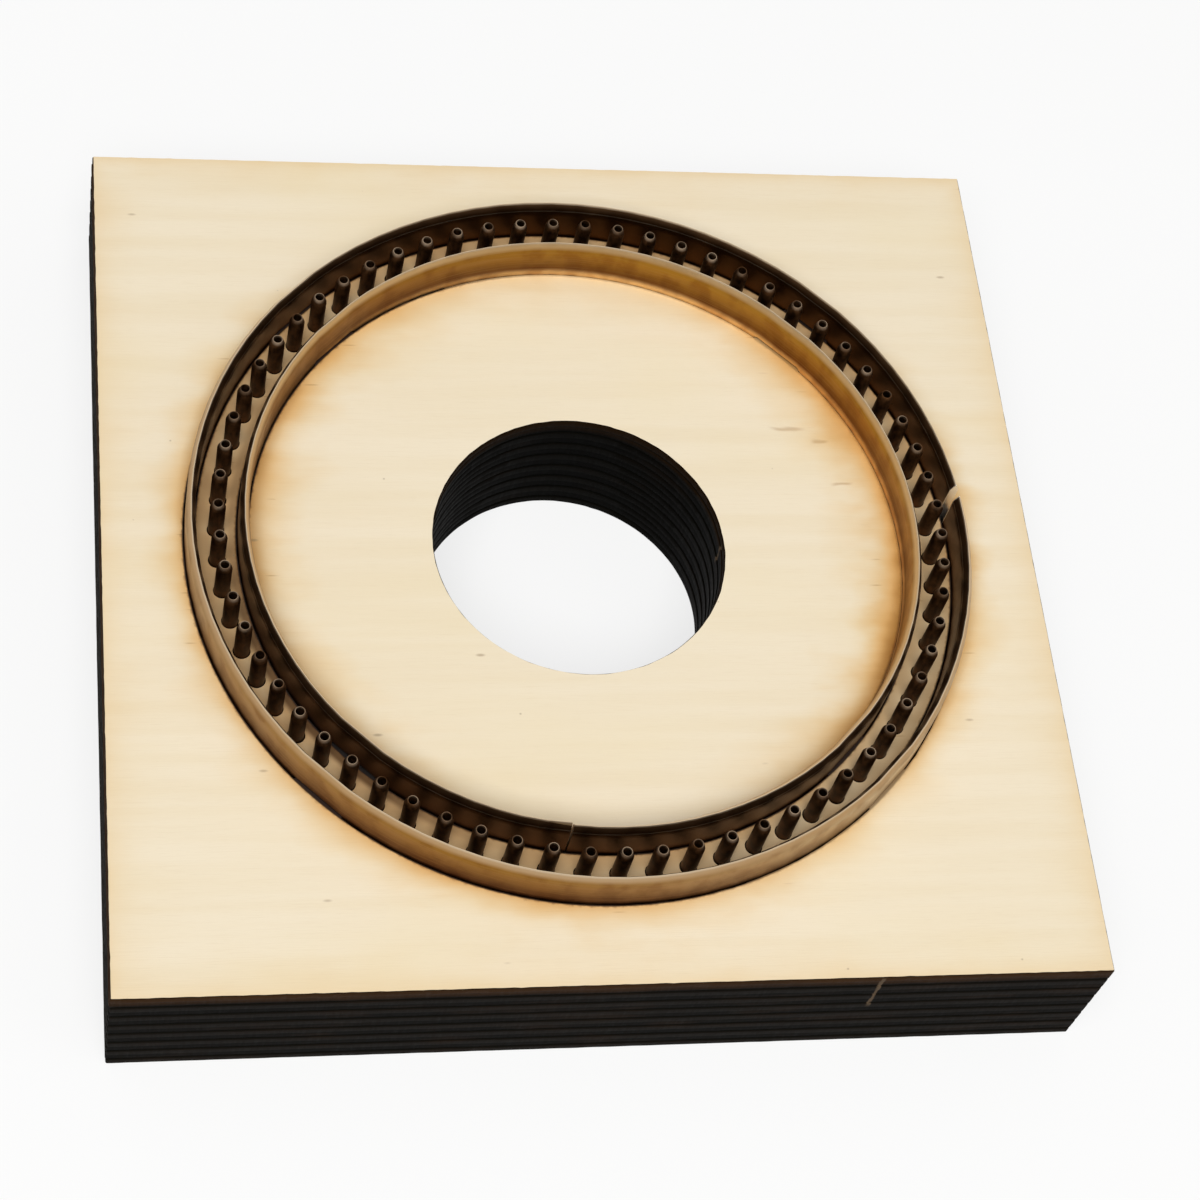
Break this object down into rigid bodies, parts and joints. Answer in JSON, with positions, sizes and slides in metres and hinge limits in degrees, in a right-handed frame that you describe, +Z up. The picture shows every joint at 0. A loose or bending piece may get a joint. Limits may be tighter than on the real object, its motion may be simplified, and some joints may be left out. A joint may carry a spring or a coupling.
{
  "type": "steel rule die",
  "caption": "Square plywood cutting die with two concentric rings of bevelled steel rule, a circle of tubular stitch punches between them and a central finger hole.",
  "frame": {"origin": "centre of the board's back, which is the face that the die rests on", "axes": "+X to the right, +Y away from the user, +Z up through the board towards the cutting edges"},
  "size_m": [0.11, 0.11, 0.0238],
  "materials": {
    "plywood": "sanded birch face, laser-charred edges",
    "rule_steel": "satin, tan to brown from oil and smoke",
    "punch_steel": "dark, smoke-stained, with a bright honed lip"
  },
  "bodies": {
    "root": {"die_board": "plywood", "outer_rule": "rule_steel", "inner_rule": "rule_steel", "stitch_punches_01": "punch_steel", "stitch_punches_02": "punch_steel", "stitch_punches_03": "punch_steel", "stitch_punches_04": "punch_steel", "stitch_punches_05": "punch_steel", "stitch_punches_06": "punch_steel", "stitch_punches_07": "punch_steel", "stitch_punches_08": "punch_steel", "stitch_punches_09": "punch_steel", "stitch_punches_10": "punch_steel", "stitch_punches_11": "punch_steel", "stitch_punches_12": "punch_steel", "stitch_punches_13": "punch_steel", "stitch_punches_14": "punch_steel", "stitch_punches_15": "punch_steel", "stitch_punches_16": "punch_steel", "stitch_punches_17": "punch_steel", "stitch_punches_18": "punch_steel", "stitch_punches_19": "punch_steel", "stitch_punches_20": "punch_steel", "stitch_punches_21": "punch_steel", "stitch_punches_22": "punch_steel"}
  },
  "joints": []
}
